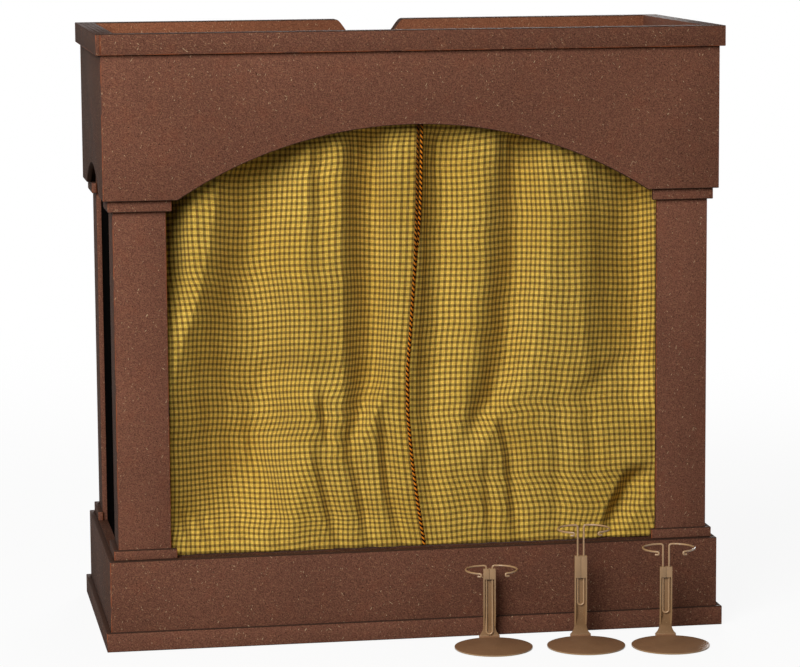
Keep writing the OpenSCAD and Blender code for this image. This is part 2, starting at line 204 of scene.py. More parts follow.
class TheatreCurtainLooks(bpy.types.PropertyGroup):
    """Cloth of the curtains and their cords."""

    thickness: length_prop("Cloth thickness", "Thickness of the cloth", 0.5)
    check: length_prop("Check", "Distance from one stripe to the next", 4.15)
    yellow: colour_prop("Yellow", "Ground colour of the cloth", (245, 203, 90))
    brown: colour_prop("Stripe brown", "Colour of the woven stripes", (84, 64, 32))
    strand_r: length_prop("Strand radius", "Radius of one strand of the cord", 0.56)
    strand_turn: length_prop("Twist", "Length of one full turn of the cord", 3.4)
    orange: colour_prop("Orange strand", "Pale strand of the cord", (244, 146, 38))
    red_brown: colour_prop("Red-brown strand", "Dark strand of the cord", (32, 13, 6))


class TheatreStandLooks(bpy.types.PropertyGroup):
    """Enamel of the doll stands."""

    edge_round: length_prop("Edge rounding", "Rounding of the pressed sheet's edges", 0.22)
    khaki: colour_prop("Khaki", "Colour of the enamel", (164, 129, 91))
    # Painted shade: a darker copy of the khaki for the channel's floor, where the wire and the channel's
    # walls shade it
    channel: colour_prop("Channel brown", "Colour inside the uprights' channels", (139, 107, 75))
    # Painted light: the wires' enamel is a lighter copy of the khaki, for light falling on them
    wire: colour_prop("Wire", "Colour of the enamel on the wires", (176, 140, 102))
    disc: colour_prop("Disc brown", "Colour of the discs' upper faces", (136, 101, 73))
    rubbed: colour_prop("Rubbed", "Colour where the enamel is thin", (206, 178, 140))


class Value:
    """A shader output. Sums and products of it add their own Math nodes."""

    def __init__(self, finish, socket):
        self.finish = finish
        self.socket = socket

    def _math(self, operation, *values):
        return self.finish.node("ShaderNodeMath", {"operation": operation}, dict(enumerate(values)))

    def __add__(self, other):
        return self._math("ADD", self, other)

    __radd__ = __add__

    def __mul__(self, other):
        return self._math("MULTIPLY", self, other)

    def __sub__(self, other):
        return self._math("SUBTRACT", self, other)

    def most(self, other):
        return self._math("MAXIMUM", self, other)

    def wave(self):
        return self._math("SINE", self)

    def step(self, low, high):
        """0 below low, 1 above high and smooth between them."""
        return self.finish.node(
            "ShaderNodeMapRange",
            {"interpolation_type": "SMOOTHSTEP"},
            {"Value": self, "From Min": low, "From Max": high, "To Min": 0.0, "To Max": 1.0},
        )


class Finish:
    """A material that is written as expressions on Value."""

    def __init__(self, name):
        self.material = bpy.data.materials.new(name)
        self.material.use_nodes = True
        self.tree = self.material.node_tree
        self.tree.nodes.clear()
        self.shader = self.tree.nodes.new("ShaderNodeBsdfPrincipled")
        out = self.tree.nodes.new("ShaderNodeOutputMaterial")
        self.tree.links.new(self.shader.outputs[0], out.inputs["Surface"])

    def node(self, kind, settings=None, inputs=None, out=0):
        """Adds a node, sets it up, feeds its sockets and returns one of its outputs."""
        made = self.tree.nodes.new(kind)
        for key, value in (settings or {}).items():
            setattr(made, key, value)
        for key, value in (inputs or {}).items():
            self.feed(made.inputs[key], value)
        return Value(self, made.outputs[out])

    def feed(self, socket, value):
        if isinstance(value, Value):
            self.tree.links.new(value.socket, socket)
        elif hasattr(value, "__len__") and len(socket.default_value) == 4 and len(value) == 3:
            socket.default_value = (*value, 1.0)
        else:
            socket.default_value = value

    def place(self, output="Object"):
        return self.node("ShaderNodeTexCoord", out=output)

    def turned(self, vector, rotation, scale):
        """A vector that is turned first and then scaled along its own axes."""
        inputs = {"Vector": vector, "Rotation": rotation}
        spun = self.node("ShaderNodeMapping", {"vector_type": "POINT"}, inputs)
        return self.node("ShaderNodeVectorMath", {"operation": "MULTIPLY"}, {0: spun, 1: scale})

    def split(self, vector):
        """The first two parts of a vector."""
        parts = self.tree.nodes.new("ShaderNodeSeparateXYZ")
        self.feed(parts.inputs[0], vector)
        return Value(self, parts.outputs[0]), Value(self, parts.outputs[1])

    def noise(self, vector, scale, detail=2.0, roughness=0.5):
        """Noise with about as many spots to each unit of the vector as the scale says."""
        return self.node(
            "ShaderNodeTexNoise",
            inputs={"Vector": vector, "Scale": scale, "Detail": detail, "Roughness": roughness},
        )

    def mix(self, share, a, b):
        """A colour between a and b."""
        return self.node("ShaderNodeMix", {"data_type": "RGBA"}, {0: share, 6: a, 7: b}, out=2)

    def set(self, **sockets):
        for name, value in sockets.items():
            self.feed(self.shader.inputs[name.replace("_", " ").title()], value)

    def bump(self, height, distance, strength):
        inputs = {"Height": height, "Distance": distance, "Strength": strength}
        self.feed(self.shader.inputs["Normal"], self.node("ShaderNodeBump", inputs=inputs))

    def shine(self, level):
        self.shader.inputs["Specular IOR Level"].default_value = level


def seen_rays(tree):
    """1 for what the camera sees, also in a mirror or through glass, and 0 for the light on the object."""
    path = tree.nodes.new("ShaderNodeLightPath")
    seen = path.outputs["Is Camera Ray"]
    for kind in ("Is Glossy Ray", "Is Transmission Ray"):
        either = tree.nodes.new("ShaderNodeMath")
        either.operation = "MAXIMUM"
        tree.links.new(seen, either.inputs[0])
        tree.links.new(path.outputs[kind], either.inputs[1])
        seen = either.outputs[0]
    return seen


def fibres(finish, place, turn, across, along, low, high):
    """Short straight fibres that lie along one direction, as a mask."""
    stretched = finish.turned(place, turn, (across, across, along))
    return finish.noise(stretched, 1.0, 0.0).step(low, high)


def board_finish(name, brown, looks):
    """Face of the brown fibreboard: fine grain, faint tints, pale fibres and dark specks."""
    f = Finish(name)
    place = f.place()
    patches = f.noise(place, 10.0, 3.0, 0.5)
    tint = f.noise(place, 80.0, 2.0, 0.5)
    grain = f.noise(place, 1250.0, 2.0, 0.7)
    faint = fibres(f, place, (0.5, 0.15, 0.2), 2100.0, 420.0, 0.62, 0.82)
    faint = faint.most(fibres(f, place, (0.2, 1.2, 0.9), 2100.0, 420.0, 0.63, 0.82))
    pale = fibres(f, place, (0.0, -0.5, 0.3), 1600.0, 330.0, 0.8, 0.88)
    pale = pale.most(fibres(f, place, (0.3, 0.1, 0.8), 1600.0, 320.0, 0.805, 0.88))
    pale = pale.most(fibres(f, place, (0.1, 0.9, 0.4), 1700.0, 340.0, 0.81, 0.88))
    specks = f.noise(place, 900.0, 1.0).step(0.69, 0.75)
    light, dark = (tuple(share * c for c in brown) for share in (1.42, 0.66))
    colour = f.mix(grain.step(0.3, 0.7), light, dark)
    colour = f.mix(patches.step(0.3, 0.7) * 0.3, colour, looks.deep_brown)
    colour = f.mix(tint.step(0.5, 0.75) * 0.1, colour, linear(RED_TINT))
    colour = f.mix(specks * 0.75, colour, linear(DARK_SPECK))
    colour = f.mix(faint * 0.3, colour, looks.fibre)
    colour = f.mix(pale * 0.6, colour, looks.pale_fibre)
    f.set(base_color=colour, roughness=0.72 + grain * 0.2)
    f.bump(grain + faint * 0.4 + pale * 0.6, 0.0001, 0.3)
    f.shine(0.03)
    return f.material


def cut_edge_finish(looks):
    """Sawn edge of a board: darker, streaked and furry."""
    f = Finish("board_cut_edge")
    place = f.place()
    grain = f.noise(place, 700.0, 3.0, 0.6)
    streaks = fibres(f, place, (0.3, 0.4, 0.2), 1200.0, 260.0, 0.45, 0.75)
    colour = f.mix(streaks * 0.5, looks.cut_edge, looks.deep_brown)
    colour = f.mix(grain.step(0.6, 0.8) * 0.4, colour, looks.worn_edge)
    f.set(base_color=colour, roughness=0.7 + grain * 0.2)
    f.bump(grain, 0.0002, 0.4)
    f.shine(0.06)
    return f.material


def worn_edge_finish(looks):
    """Rubbed corner of a board, with pale chips."""
    f = Finish("board_worn_edge")
    place = f.place()
    rub = f.noise(place, 60.0, 3.0, 0.6)
    chips = f.noise(place, 420.0, 2.0).step(0.6, 0.7)
    colour = f.mix(rub.step(0.35, 0.62), looks.deep_brown, looks.worn_edge)
    colour = f.mix(chips * 0.6, colour, looks.fibre)
    f.set(base_color=colour, roughness=0.6 + chips * 0.2)
    f.shine(0.1)
    return f.material


def black_finish(looks):
    """Black wing panel with a faint fibre grain."""
    f = Finish("black_board")
    place = f.place()
    grain = f.noise(place, 850.0, 3.0, 0.6)
    pale = fibres(f, place, (0.2, 0.3, 0.5), 1400.0, 250.0, 0.67, 0.76)
    dust = f.noise(place, 25.0, 3.0).step(0.45, 0.8)
    colour = f.mix(pale * 0.3 + dust * 0.05, looks.black, looks.cut_edge)
    f.set(base_color=colour, roughness=0.78 + grain * 0.2)
    f.bump(grain, 0.0001, 0.3)
    f.shine(0.0)
    return f.material


def rod_finish():
    """Plain wooden rod with its grain along it."""
    f = Finish("rod_wood")
    place = f.place()
    stretched = f.turned(place, NO_TURN, (30.0, 900.0, 900.0))
    grain = f.noise(stretched, 1.0, 4.0, 0.6)
    colour = f.mix(grain.step(0.35, 0.7), linear(PALE_WOOD), linear(DARK_WOOD))
    f.set(base_color=colour, roughness=0.45 + grain * 0.2)
    f.bump(grain, 0.0001, 0.3)
    return f.material


def gingham_finish(looks):
    """Woven check: stripes of brown yarn both ways over a yellow ground."""
    f = Finish("gingham_cloth")
    weave = f.place("UV")
    across, up = f.split(weave)
    wobble = (f.noise(weave, 90.0, 2.0) - 0.5) * 0.5
    turn = 2 * math.pi / looks.check
    upright = (across * turn + wobble).wave().step(-0.1, 0.4)
    level = (up * turn + wobble).wave().step(-0.1, 0.4)
    yarn = 2 * math.pi / THREAD
    thread = (across * yarn).wave() * (up * yarn).wave()
    slub = f.noise(f.turned(weave, NO_TURN, (3000.0, 160.0, 1.0)), 1.0, 2.0)
    fade = f.noise(weave, 22.0, 3.0)
    ground = f.mix(fade.step(0.35, 0.7) * 0.35, looks.yellow, linear(FADED_YELLOW))
    cloth = f.mix((upright + level) * 0.62 - upright * level * 0.27, ground, looks.brown)
    warm = f.noise(weave, 620.0, 2.0).step(0.45, 0.7)
    green = f.noise(f.turned(weave, (0.0, 0.0, 0.6), (1.0, 1.0, 1.0)), 540.0, 2.0).step(0.45, 0.7)
    cloth = f.mix(warm * 0.32, cloth, linear(WARM_YARN))
    cloth = f.mix(green * 0.24, cloth, linear(GREEN_YARN))
    grain = f.noise(weave, 1500.0, 2.0)
    cloth = f.mix(grain.step(0.4, 0.75) * 0.3, cloth, linear(DARK_YARN))
    cloth = f.mix(slub.step(0.5, 0.8) * 0.24, cloth, linear(PALE_SLUB))
    f.set(base_color=cloth, roughness=0.82 + thread * 0.06)
    f.bump(thread * 0.5 + slub, 0.00018, 0.5)
    f.shine(0.05)
    f.shader.inputs["Sheen Weight"].default_value = 0.04
    return f.material


def strand_finish(name, colour, top_shade_share):
    """Twisted yarn of one colour, with fine plies round the strand, painted shade in the grooves between the
    plies, and painted shade that darkens it by a share higher up.
    """
    f = Finish(name)
    around, run = f.split(f.place("UV"))
    ply = (around * (2 * math.pi * 3) + run * (2 * math.pi / PLY)).wave()
    fuzz = f.noise(f.place(), 1500.0, 2.0)
    # Painted shade in the grooves between the plies
    shade = f.mix(ply.step(-0.8, 0.6), tuple(c * 0.55 for c in colour), colour)
    shade = f.mix(fuzz.step(0.55, 0.75) * 0.3, shade, tuple(min(1.0, c * 1.5) for c in colour))
    # Painted shade: the strand turns darker by a share higher up the cord
    shade = f.mix(run.step(0.12, 0.26) * top_shade_share, shade, tuple(c * 0.1 for c in colour))
    f.set(base_color=shade, roughness=0.62 + ply * 0.1)
    f.bump(ply, 0.00015, 0.5)
    f.shine(0.05)
    return f.material


def enamel_finish(name, khaki, gloss, looks):
    """Enamel, a little uneven, with a share of its full gloss."""
    f = Finish(name)
    place = f.place()
    patches = f.noise(place, 70.0, 3.0, 0.55)
    specks = f.noise(place, 1300.0, 1.0).step(0.66, 0.76)
    peel = f.noise(place, 420.0, 2.0)
    colour = f.mix(patches.step(0.35, 0.7) * 0.3, khaki, tuple(c * 0.72 for c in khaki))
    colour = f.mix(specks * 0.3, colour, looks.rubbed)
    f.set(base_color=colour, roughness=0.42 - 0.18 * gloss + patches * 0.12)
    f.bump(peel, 0.00003, 0.15)
    f.shine(0.4 * gloss)
    f.shader.inputs["Coat Weight"].default_value = 0.25 * gloss
    f.shader.inputs["Coat Roughness"].default_value = 0.12
    return f.material


def rubbed_finish(looks):
    """Edges of the stands, where the enamel is rubbed pale."""
    f = Finish("khaki_rubbed")
    rub = f.noise(f.place(), 160.0, 3.0)
    f.set(base_color=f.mix(rub.step(0.35, 0.65), looks.khaki, looks.rubbed), roughness=0.4 + rub * 0.12)
    f.shine(0.25)
    return f.material


def only(piece):
    """Selects one object and makes it the active one."""
    bpy.ops.object.select_all(action="DESELECT")
    piece.select_set(True)
    bpy.context.view_layer.objects.active = piece


def new_piece(name, mesh):
    piece = bpy.data.objects.new(name, mesh)
    bpy.context.scene.collection.objects.link(piece)
    only(piece)
    return piece


def merged_copy(node, name):
    """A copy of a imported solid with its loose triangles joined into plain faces."""
    piece = new_piece(name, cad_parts[node].data.copy())
    piece.data.materials.clear()
    bpy.ops.mesh.customdata_custom_splitnormals_clear()
    bpy.ops.object.mode_set(mode="EDIT")
    bpy.ops.mesh.select_all(action="SELECT")
    bpy.ops.mesh.remove_doubles(threshold=MERGE_GAP)
    bpy.ops.mesh.dissolve_limited(angle_limit=math.radians(MERGE_ANGLE))
    bpy.ops.object.mode_set(mode="OBJECT")
    return piece


def rounded(piece, width, material):
    """Rounds the sharp edges and says which material slot the rounding has."""
    bevel = piece.modifiers.new("rounding", "BEVEL")
    bevel.width = width
    bevel.segments = ROUND_STEPS
    bevel.limit_method = "ANGLE"
    bevel.angle_limit = math.radians(ROUND_ANGLE)
    bevel.material = material
    only(piece)
    bpy.ops.object.modifier_apply(modifier=bevel.name)
    bpy.ops.object.shade_smooth_by_angle(angle=math.radians(SHARP_ANGLE))


def stand_for(piece, node, body):
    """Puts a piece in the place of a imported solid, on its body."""
    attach(piece, body)
    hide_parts(node)


def thin_axis(node):
    """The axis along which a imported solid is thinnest."""
    low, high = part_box(node)
    sizes = [high[k] - low[k] for k in range(3)]
    return sizes.index(min(sizes))


class THEATRE_OT_stage(bpy.types.Operator):
    """Sets up the camera, the floor and the light"""

    bl_idname = "theatre.stage"
    bl_label = "Camera, floor and light"

    def execute(self, context):
        context.scene.view_settings.view_transform = "Standard"
        self.camera(context)
        self.floor()
        self.world(context)
        for lamp in LAMPS:
            self.lamp(*lamp)
        return {"FINISHED"}

    def camera(self, context):
        right, down, ahead = Vector(CAMERA_RIGHT), Vector(CAMERA_DOWN), Vector(CAMERA_AHEAD)
        data = bpy.data.cameras.new("camera")
        data.sensor_width = SENSOR_MM
        data.lens = LENS_MM
        camera = bpy.data.objects.new("camera", data)
        context.scene.collection.objects.link(camera)
        turn = Matrix((right, -down, -ahead)).transposed().to_4x4()
        camera.matrix_world = Matrix.Translation(CAMERA_PLACE) @ turn
        context.scene.camera = camera

    def floor(self):
        bpy.ops.object.select_all(action="DESELECT")
        bpy.ops.mesh.primitive_plane_add(size=FLOOR_SIZE, location=(0.0, 0.0, -FLOOR_DROP))
        floor = bpy.context.active_object
        floor.name = "floor"
        bpy.ops.object.transform_apply(location=True, rotation=True, scale=True)
        f = Finish("pale_floor")
        seen = Value(f, seen_rays(f.tree))
        f.set(base_color=f.mix(seen, linear(FLOOR_GREY), linear(FLOOR_WHITE)), roughness=0.9)
        f.shine(0.0)
        white = f.tree.nodes.new("ShaderNodeEmission")
        blend = f.tree.nodes.new("ShaderNodeMixShader")
        distance = f.node("ShaderNodeVectorMath", {"operation": "LENGTH"}, {0: f.place()}, out="Value")
        f.feed(blend.inputs[0], seen * (distance.step(*FLOOR_FADE) * 0.1 + 0.9))
        f.tree.links.new(f.shader.outputs[0], blend.inputs[1])
        f.tree.links.new(white.outputs[0], blend.inputs[2])
        out = next(n for n in f.tree.nodes if n.type == "OUTPUT_MATERIAL")
        f.tree.links.new(blend.outputs[0], out.inputs["Surface"])
        floor.data.materials.append(f.material)

    def world(self, context):
        world = bpy.data.worlds.new("studio")
        world.use_nodes = True
        context.scene.world = world
        tree = world.node_tree
        tree.nodes.clear()
        soft = tree.nodes.new("ShaderNodeBackground")
        soft.inputs["Color"].default_value = WORLD_TINT
        soft.inputs["Strength"].default_value = WORLD_LIGHT
        white = tree.nodes.new("ShaderNodeBackground")
        white.inputs["Color"].default_value = (1.0, 1.0, 1.0, 1.0)
        white.inputs["Strength"].default_value = 1.0
        blend = tree.nodes.new("ShaderNodeMixShader")
        out = tree.nodes.new("ShaderNodeOutputWorld")
        tree.links.new(seen_rays(tree), blend.inputs[0])
        tree.links.new(soft.outputs[0], blend.inputs[1])
        tree.links.new(white.outputs[0], blend.inputs[2])
        tree.links.new(blend.outputs[0], out.inputs["Surface"])

    def lamp(self, name, place, size, watts):
        data = bpy.data.lights.new(name, "AREA")
        data.size = size
        data.energy = watts
        lamp = bpy.data.objects.new(name, data)
        bpy.context.scene.collection.objects.link(lamp)
        aim = Vector(LAMP_AIM) - Vector(place)
        lamp.matrix_world = Matrix.Translation(place) @ aim.to_track_quat("-Z", "Y").to_matrix().to_4x4()


class THEATRE_OT_cords(bpy.types.Operator):
    """Twists the cord that edges each curtain from two strands"""

    bl_idname = "theatre.cords"
    bl_label = "Edging cords"

    def execute(self, context):
        looks = context.scene.theatre_curtains
        # The left cord gets painted shade higher up and the right one none
        for side, route, top_shade_share in (("left", left_cord, 0.75), ("right", right_cord, 0.0)):
            piece = new_piece(f"twisted_cord_{side}", twisted_mesh(f"twisted_cord_{side}", route, looks))
            for name, colour in (("orange", looks.orange), ("red_brown", looks.red_brown)):
                piece.data.materials.append(strand_finish(f"cord_{name}_{side}", tuple(colour), top_shade_share))
            bpy.ops.object.shade_smooth()
            stand_for(piece, f"edging_cord_{side}", f"{side}_curtain_edge")
        return {"FINISHED"}


def ease(v):
    """0 below 0, 1 above 1 and smooth between them."""
    v = np.clip(v, 0.0, 1.0)
    return v * v * (3 - 2 * v)


def smoothed(values, half):
    """The running mean of a list, over so many values to each side."""
    window = np.ones(2 * half + 1) / (2 * half + 1)
    return np.convolve(np.pad(values, half, mode="edge"), window, mode="valid")


def run_length(points):
    """How far each point lies along its row, from the row's first point."""
    steps = np.linalg.norm(np.diff(points, axis=-2), axis=-1)
    return np.concatenate([np.zeros_like(steps[..., :1]), np.cumsum(steps, axis=-1)], axis=-1)


def seam_x(height):
    """Where the two curtains meet, to the right of the middle, at a height above the stage floor."""
    places = np.array(SEAM_PLACES, float)
    return np.interp(height, places[:, 0], places[:, 1])


def cord_y(height):
    """The y of the left cord's middle line, just in front of the cloth."""
    return SHEET_Y - CLOTH_HALF - CORD_GAP - CORD_R - HEM_SWELL * (1 - ease(height / SWELL_H))


def left_cord(height):
    return seam_x(height), cord_y(height)


def right_cord(height):
    """Beside the left cord near the top, and nearly behind it lower down."""
    apart, tuck, tuck_h, tuck_reach = 2.4, 70.0, 180.0, 70.0
    turn = np.radians(tuck) * (1 - ease((height - tuck_h) / tuck_reach))
    return seam_x(height) + apart * np.cos(turn), cord_y(height) + apart * np.sin(turn)


def twisted_mesh(name, route, looks):
    """Two round strands that wind about the cord's line."""
    sides, steps, foot, soften = 8, 1100, 1.5, 19
    heights = np.linspace(foot, ROD_Z - CASING_DROP - FLOOR_Z, steps + 1)
    x, y = (smoothed(line, soften) for line in route(heights))
    middle = np.stack([x, y, FLOOR_Z + heights], axis=1) * MM
    run = run_length(middle)
    points, faces, uvs, slots = [], [], [], []
    offset = CORD_R * MM - looks.strand_r
    for strand in range(2):
        spin = -2 * math.pi * run / looks.strand_turn + math.pi * strand
        line = middle + offset * np.stack([np.cos(spin), np.sin(spin), np.zeros_like(spin)], axis=1)
        ahead = np.gradient(line, axis=0)
        ahead /= np.linalg.norm(ahead, axis=1)[:, None]
        side = np.cross(ahead, np.array([0.0, 1.0, 0.0]))
        side /= np.linalg.norm(side, axis=1)[:, None]
        back = np.cross(ahead, side)
        start = len(points)
        for k in range(steps + 1):
            for i in range(sides):
                a = 2 * math.pi * i / sides
                points.append(line[k] + looks.strand_r * (math.cos(a) * side[k] + math.sin(a) * back[k]))
        for k in range(steps):
            for i in range(sides):
                j = (i + 1) % sides
                a, b = start + k * sides, start + (k + 1) * sides
                faces.append((a + i, a + j, b + j, b + i))
                corners = ((i, k), (i + 1, k), (i + 1, k + 1), (i, k + 1))
                uvs.append(tuple((u / sides, run[v]) for u, v in corners))
                slots.append(strand)
        last = start + steps * sides
        faces.append(tuple(start + i for i in reversed(range(sides))))
        faces.append(tuple(last + i for i in range(sides)))
        for k in (0, steps):
            uvs.append(tuple((i / sides, run[k]) for i in range(sides)))
            slots.append(strand)
    mesh = bpy.data.meshes.new(name)
    mesh.from_pydata([tuple(p) for p in points], [], faces)
    flat = [c for face in uvs for uv in face for c in uv]
    mesh.uv_layers.new(name="yarn").data.foreach_set("uv", flat)
    mesh.polygons.foreach_set("material_index", slots)
    mesh.update()
    return mesh


class THEATRE_OT_boards(bpy.types.Operator):
    """Gives every brown board its rounded edges and its fibreboard finish"""

    bl_idname = "theatre.boards"
    bl_label = "Brown boards"

    def execute(self, context):
        looks = context.scene.theatre_boards
        face = board_finish("board_face", looks.brown, looks)
        shades = {}
        # Darker and lighter copies of the brown; on the base they are painted shade and on the stage floor
        # painted shadow
        for part, share in SHADES.items():
            shades[part] = board_finish(f"board_{part}", tuple(share * c for c in looks.brown), looks)
        # The outer side faces get a darker, greyer copy of the brown: painted shade with a painted grey
        # sheen
        shaded_outer = board_finish("board_side_painted_shade", tuple(looks.side_shade_brown), looks)
        # Lighter copy of the brown for the back board's inner face: partly warmer colour, partly painted
        # light
        lit_inner = board_finish("board_inner_painted_light", looks.inner_lit_brown, looks)
        cut, worn = cut_edge_finish(looks), worn_edge_finish(looks)
        for node in BROWN_BOARDS:
            piece = merged_copy(node, f"{node}_panel" if node.endswith("board") else f"{node}_sawn")
            for finish in (shades.get(node.split("_")[0], face), cut, worn, lit_inner, shaded_outer):
                piece.data.materials.append(finish)
            axis = thin_axis(node)
            for side in piece.data.polygons:
                side.material_index = FACE if abs(side.normal[axis]) > FACING else CUT
                # The back board's front-facing face takes the painted light
                if node == "portal_back" and side.normal.y < -FACING:
                    side.material_index = INNER
                # Outer faces of the side boards take the painted shade and grey sheen
                elif axis == 0 and side.normal.x * side.center.x > FACING * abs(side.center.x):
                    side.material_index = OUTER
                elif axis == 0 and side.normal.y < -FACING:
                    side.material_index = FACE
            rounded(piece, looks.edge_round, WORN)
            self.darken_level_edges(piece, keep_below=node.startswith("cornice"))
            stand_for(piece, node, "theatre")
        return {"FINISHED"}

    def darken_level_edges(self, piece, keep_below):
        """Leaves the rubbed colour on upright edges and under the cornice, and darkens the other edges."""
        tilt = 0.3
        for side in piece.data.polygons:
            up = side.normal.z
            if side.material_index == WORN and (up > tilt or (up < -tilt and not keep_below)):
                side.material_index = CUT


class THEATRE_OT_wings(bpy.types.Operator):
    """Gives the wing panels their black finish"""

    bl_idname = "theatre.wings"
    bl_label = "Black wing panels"

    def execute(self, context):
        looks = context.scene.theatre_boards
        finish = black_finish(looks)
        for side in ("left", "right"):
            piece = merged_copy(f"wing_{side}", f"wing_panel_{side}")
            piece.data.materials.append(finish)
            rounded(piece, looks.edge_round, 0)
            stand_for(piece, f"wing_{side}", "theatre")
        return {"FINISHED"}


class THEATRE_OT_rod(bpy.types.Operator):
    """Makes the wooden rod that the curtains hang on"""

    bl_idname = "theatre.rod"
    bl_label = "Curtain rod"

    def execute(self, context):
        piece = merged_copy("curtain_rod", "turned_rod")
        piece.data.materials.append(rod_finish())
        rounded(piece, ROD_ROUND * MM, 0)
        stand_for(piece, "curtain_rod", "theatre")
        return {"FINISHED"}


# The hem lies nearly straight: the share of a fold's depth that it keeps, and the height where all is back
HEM_SHARE = 0.35
HEM_REACH = 24.0
# How far the rows of the check sink in a fold, as a share of its depth
ROW_DROP = 0.13
# Folds of each curtain, from the hem up: how sharp the left rim is, and the points of the line.
# Each point: x, height above the stage floor, depth to the back, widths of the left slope and the right one
LEFT_FOLDS = (
    (0.0, (
        (-166, 146, 0, 40, 16), (-163, 165, 8, 40, 18), (-163, 190, 20, 40, 18), (-163, 250, 25, 40, 18),
        (-163, 300, 12, 40, 16),
    )),
    (0.55, (
        (-120, 0, 5, 46, 32), (-118, 12, 16, 48, 34), (-115, 25, 27, 51, 36), (-112, 40, 33, 54, 37),
        (-107, 63, 36, 59, 38), (-104, 82, 36, 61, 38), (-103, 101, 34.5, 61, 38), (-103, 120, 32, 58, 37),
        (-103, 139, 29, 53, 36), (-104, 176, 25, 39, 33), (-99, 214, 23, 36, 30), (-93, 251, 21.5, 37, 27),
        (-89, 275, 17, 31, 23), (-86, 294, 11, 25, 19),
    )),
    (0.3, ((-62, 180, 0, 7, 8), (-61, 210, 2.5, 9, 9), (-61, 245, 5, 9, 9), (-61, 290, 5.5, 9, 9))),
    (0.55, (
        (-41, 66, 0, 5, 5), (-38, 80, 8, 9, 6), (-32, 95, 13, 16, 9), (-26, 115, 18, 22, 13),
        (-24, 150, 19.5, 24, 15), (-23.5, 200, 20, 24, 15), (-24, 260, 20, 24, 14), (-26, 300, 14, 21, 13),
    )),
    (0.5, ((-57, 66, 0, 5, 4), (-57.5, 78, 5, 6, 5), (-59, 96, 6, 7, 5), (-61, 112, 0, 6, 5))),
    (0.5, (
        (-90, 0, 5, 7, 10), (-93, 20, 5.5, 7, 10), (-98, 45, 5, 8, 11), (-104, 75, 2, 8, 12),
        (-108, 95, 0, 8, 12),
    )),
    (0.5, (
        (-50, 0, 6, 7, 9), (-53.5, 15, 6.5, 7, 10), (-58.5, 37, 6.5, 7, 10), (-64, 62, 4, 7, 9),
        (-66, 78, 0, 6, 8),
    )),
    (0.5, (
        (-30, 0, 6, 7, 8), (-32.5, 20, 7, 7, 9), (-36.5, 45, 7, 8, 9), (-42.5, 68, 4.5, 7, 7),
        (-46, 84, 0, 6, 6),
    )),
    (0.5, (
        (-8, 0, 3, 5, 6), (-11.5, 18, 5.5, 7, 8), (-15, 38, 7, 8, 9), (-17.8, 67, 7.5, 8, 9),
        (-19, 94, 4, 8, 9), (-20, 112, 0, 8, 9),
    )),
    (0.4, ((-147, 0, 3.4, 5, 6), (-153, 20, 3, 5, 6), (-156, 32, 0, 5, 6))),
    (0.4, ((-136, 0, 3, 5, 5), (-140, 17, 2.6, 5, 5), (-143, 27, 0, 5, 5))),
    (0.4, ((-108, 0, 3, 5, 6), (-116, 13, 2.6, 5, 6), (-120, 25, 0, 5, 6))),
    (0.4, ((-124, 0, 2.2, 4, 5), (-128, 12, 2, 4, 5), (-130, 21, 0, 4, 5))),
    (0.0, ((-74, 74, 0, 18, 13), (-73, 97, -3.4, 18, 12), (-72, 118, 0, 18, 12))),
    (0.0, ((-110, 0, -4, 45, 40), (-110, 22, -3, 45, 40), (-106, 56, 0, 45, 40))),
    (0.0, ((-86, 128, 0, 30, 26), (-86, 170, -2.5, 30, 26), (-86, 240, -3, 30, 26), (-86, 290, 0, 30, 26))),
)
RIGHT_FOLDS = (
    (0.3, (
        (11, 0, 2, 10, 12), (10, 20, 2.5, 10, 12), (11, 60, 6, 13, 16), (13, 90, 9.5, 16, 19),
        (17, 120, 12, 20, 22), (21, 180, 13.5, 21, 23), (21, 260, 13.5, 19, 23), (19, 310, 9, 14, 17),
    )),
    (0.0, (
        (38, 66, 0, 10, 10), (44, 79, 7, 14, 11), (55, 97, 12, 21, 13), (65, 120, 14.5, 26, 16),
        (70.5, 157, 16, 28, 18), (74.5, 195, 16.5, 28, 18), (76.5, 232, 16.5, 28, 18),
        (77.5, 274, 16, 25, 16), (77, 300, 11, 20, 14),
    )),
    (0.4, (
        (150, 82, 0, 28, 18), (154, 100, 8, 34, 16), (158, 125, 16, 41, 15), (160, 150, 19.5, 44, 14),
        (160, 200, 20.5, 44, 14), (158, 228, 18, 42, 14), (155, 252, 14, 38, 14), (150, 278, 6, 30, 13),
    )),
    (0.4, (
        (133, 0, 6, 9, 11), (138, 11, 13, 10, 12), (145, 24, 15, 12, 13), (152, 37, 10, 13, 13),
        (158, 50, 0, 12, 11),
    )),
    (0.4, ((53, 0, 4, 6, 6), (52.5, 20, 4.5, 6, 6), (50.5, 50, 3, 6, 6), (49, 64, 0, 6, 6))),
    (0.5, (
        (72, 0, 5, 7, 8), (70, 25, 6, 7, 9), (67, 63, 6.5, 7, 9), (63.6, 76, 6, 7, 9), (60, 92, 3, 7, 8),
        (57, 106, 0, 7, 8),
    )),
    (0.0, ((99, 0, 2, 8, 9), (99, 60, 2.4, 8, 9), (98, 100, 1.4, 8, 9), (98, 125, 0, 8, 9))),
    (0.0, ((124, 30, 0, 8, 9), (124, 60, 2.6, 8, 9), (122, 95, 1.4, 8, 9), (121, 112, 0, 8, 9))),
    (0.0, ((46, 40, 0, 16, 14), (46, 66, -3.4, 16, 14), (48, 88, 0, 16, 14))),
    (0.0, ((98, 40, 0, 36, 34), (98, 120, -2, 36, 34), (96, 220, -2.6, 34, 34), (96, 290, 0, 34, 32))),
    (0.3, ((21, 0, 2.6, 5, 6), (17, 12, 2.4, 5, 6), (13, 23, 0, 5, 6))),
)
